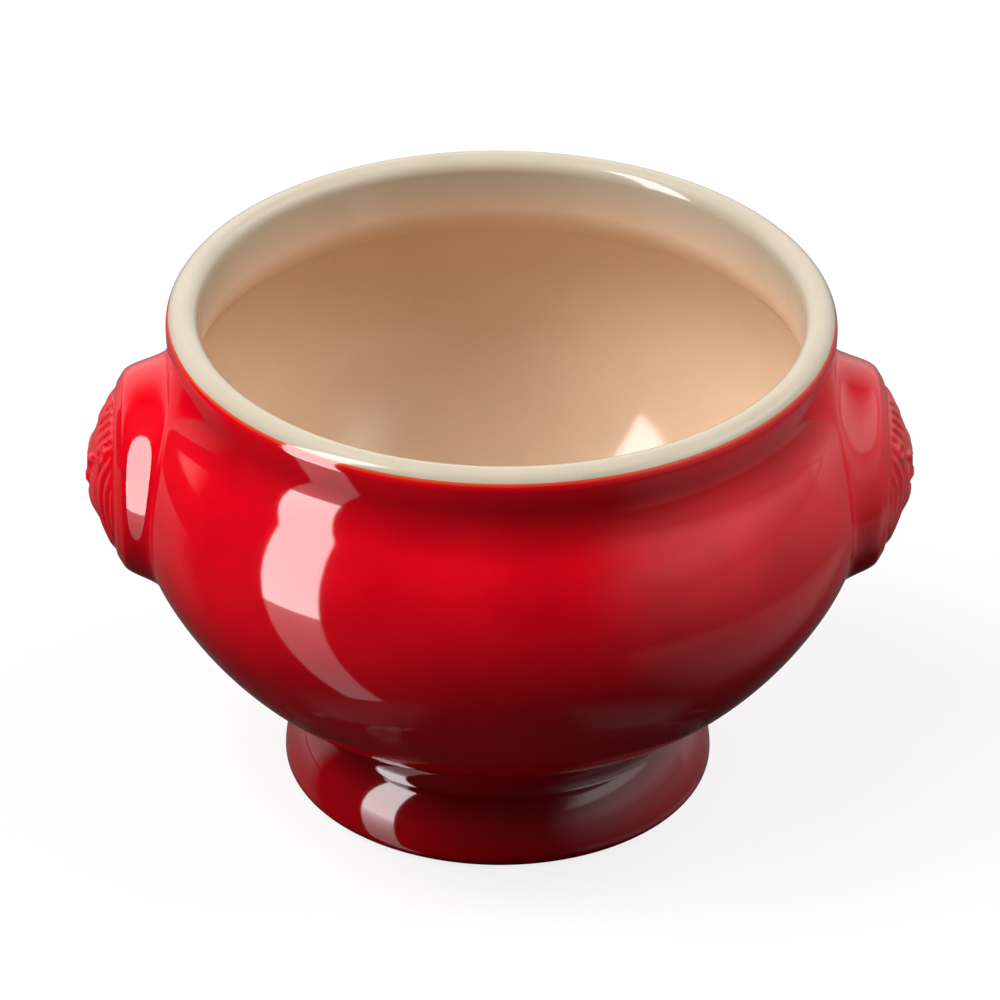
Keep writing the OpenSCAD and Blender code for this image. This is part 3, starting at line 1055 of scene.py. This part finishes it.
@dataclass
class Studio:
    """White table, white surround, softboxes and the camera, in metres and degrees, its lens in mm."""

    elevation: float = 31.026
    distance: float = 1.5002
    aim_z: float = 0.0545
    turn: float = -1.55
    roll: float = 0.526
    lens: float = 298.6
    sensor: float = 36.0
    clip: tuple[float, float] = (0.05, 50.0)
    floor_size: float = 12.0
    # The floor lies this far under the standing ring, so that the two never share a plane
    floor_drop: float = 0.05 * MM
    # The floor's own white, to which its lit grey adds the rest, so that shadows stay pale
    floor_glow: float = 0.82
    floor_grey: tuple[float, float, float, float] = (0.17, 0.16, 0.165, 1)
    # In reflections the table is dark and polished, and ends at an edge on the left
    edge_azimuth: float = KEY_AZIMUTH
    edge_reach: float = 0.24
    table_grey: tuple[float, float, float, float] = (0.02, 0.02, 0.02, 1)
    table_roughness: float = 0.04
    table_ior: float = 1.8
    white: tuple[float, float, float, float] = (1, 1, 1, 1)
    # Light that comes from all round, beside the lamps
    dim: float = 0.03
    sheets: tuple[Sheet, ...] = (
        # White backdrop behind the table
        Sheet(1.0, (("Y", 0.25, 0.45), ("Z", -0.02, 0.02), ("Z", 0.8, 0.45))),
        # Diffuser on the right and the brighter one above it
        Sheet(1.1, (("X", 0.35, 0.95), ("Z", -0.25, 0.3))),
        Sheet(2.2, (("X", 0.45, 0.7), ("Z", 0.42, 0.55))),
        # Ceiling on both sides of the camera
        Sheet(0.9, (("sideways", 0.18, 0.3), ("Z", 0.86, 0.92))),
    )
    # Name, azimuth, distance, height, width, length, lean and radiance of every lamp
    lamps: tuple[Softbox, ...] = (
        Softbox("left_softbox", KEY_AZIMUTH, 1.2, 0.85, 0.41, 2.7, 0, 12.0, lights=False),
        Softbox("left_fill", KEY_AZIMUTH, 1.2, 0.85, 0.41, 2.7, 0, 1.5, mirrored=False),
        Softbox("left_high", -90, 1.0, 1.3, 0.9, 0.9, 50, 9.2, mirrored=False),
        Softbox("right_high", 90, 1.0, 1.3, 0.9, 0.9, 50, 7.4, mirrored=False),
        Softbox("left_front", -55, 0.9, 1.4, 0.9, 0.9, 56, 4.2, mirrored=False),
        Softbox("front_top", 0, 0.5, 1.5, 1.2, 0.7, 71, 0.5, mirrored=False),
    )

    def floor(self) -> None:
        """Lays the table, white to the eye with a soft shadow, and dark to reflections."""
        half, low = self.floor_size / 2, -self.floor_drop
        mesh = bpy.data.meshes.new("table")
        corners = [(-half, -half, low), (half, -half, low), (half, half, low), (-half, half, low)]
        mesh.from_pydata(corners, [], [(0, 1, 2, 3)])
        table = stand("table", mesh)
        mat, tree, place = new_material("white_acrylic_table")
        path = add_node(tree, "ShaderNodeLightPath").outputs
        turn = math.radians(self.edge_azimuth)
        reach = add_node(tree, "ShaderNodeVectorMath", {0: place, 1: (math.sin(turn), -math.cos(turn), 0)},
                         operation="DOT_PRODUCT").outputs["Value"]
        past = add_node(tree, "ShaderNodeMath", {0: reach, 1: self.edge_reach}, operation="GREATER_THAN")
        glow = add_node(tree, "ShaderNodeEmission", {"Color": self.white, "Strength": self.floor_glow})
        shade = add_node(tree, "ShaderNodeBsdfDiffuse", {"Color": self.floor_grey})
        seen = add_node(tree, "ShaderNodeAddShader", {0: glow, 1: shade})
        polished = add_node(tree, "ShaderNodeBsdfPrincipled",
                            {"Base Color": self.table_grey, "Roughness": self.table_roughness,
                             "IOR": self.table_ior})
        clear = add_node(tree, "ShaderNodeBsdfTransparent")
        mirrored = add_node(tree, "ShaderNodeMixShader", {"Fac": past, 1: polished, 2: clear})
        both = add_node(tree, "ShaderNodeMixShader", {"Fac": path["Is Camera Ray"], 1: mirrored, 2: seen})
        add_node(tree, "ShaderNodeOutputMaterial", {"Surface": both})
        mesh.materials.append(mat)

    def surround(self) -> None:
        """Sets the world: white to the eye, and soft sheets of light to the crock's reflections."""
        world = bpy.data.worlds.new("studio")
        bpy.context.scene.world = world
        world.use_nodes = True
        tree = world.node_tree
        tree.nodes.clear()
        path = add_node(tree, "ShaderNodeLightPath").outputs
        towards = add_node(tree, "ShaderNodeTexCoord").outputs["Generated"]
        heading: dict[str, Any] = dict(
            zip("XYZ", add_node(tree, "ShaderNodeSeparateXYZ", {"Vector": towards}).outputs))
        heading["sideways"] = add_node(tree, "ShaderNodeMath", {0: heading["X"]}, operation="ABSOLUTE")
        mirrored: Any = 0.0
        for sheet in self.sheets:
            light: Any = sheet.strength
            for part, start, full in sheet.bands:
                band = add_node(tree, "ShaderNodeMapRange",
                                {"Value": heading[part], "From Min": start, "From Max": full},
                                interpolation_type="SMOOTHSTEP")
                light = add_node(tree, "ShaderNodeMath", {0: light, 1: band}, operation="MULTIPLY")
            mirrored = add_node(tree, "ShaderNodeMath", {0: mirrored, 1: light}, operation="MAXIMUM")
        glossy = add_node(tree, "ShaderNodeMath", {0: mirrored, 1: path["Is Glossy Ray"]},
                          operation="MULTIPLY")
        shown = add_node(tree, "ShaderNodeMath", {0: glossy, 1: path["Is Camera Ray"]}, operation="MAXIMUM")
        glow = add_node(tree, "ShaderNodeBackground", {"Color": self.white, "Strength": shown})
        dim = add_node(tree, "ShaderNodeBackground", {"Color": self.white, "Strength": self.dim})
        total = add_node(tree, "ShaderNodeAddShader", {0: glow, 1: dim})
        add_node(tree, "ShaderNodeOutputWorld", {"Surface": total})

    def camera(self) -> None:
        """Stands the camera where the photograph was taken from."""
        data = bpy.data.cameras.new("camera")
        data.lens, data.sensor_width = self.lens, self.sensor
        data.clip_start, data.clip_end = self.clip
        camera = stand("camera", data)
        rise, turn = math.radians(self.elevation), math.radians(self.turn)
        back = Vector((math.sin(turn) * math.cos(rise), -math.cos(turn) * math.cos(rise), math.sin(rise)))
        look = (-back).to_track_quat("-Z", "Y").to_matrix().to_4x4()
        spot = Vector((0, 0, self.aim_z)) + back * self.distance
        roll = Matrix.Rotation(math.radians(self.roll), 4, "Z")
        camera.matrix_world = Matrix.Translation(spot) @ look @ roll
        bpy.context.scene.camera = camera

    def build(self) -> None:
        """Sets up the whole studio."""
        self.floor()
        self.surround()
        for lamp in self.lamps:
            lamp.place()
        self.camera()
        bpy.context.scene.view_settings.view_transform = "Standard"


def main() -> None:
    """Builds the crock and the studio."""
    logging.basicConfig(level=logging.INFO, format="%(message)s")
    Crock().build()
    Studio().build()


if __name__ == "__main__":
    main()
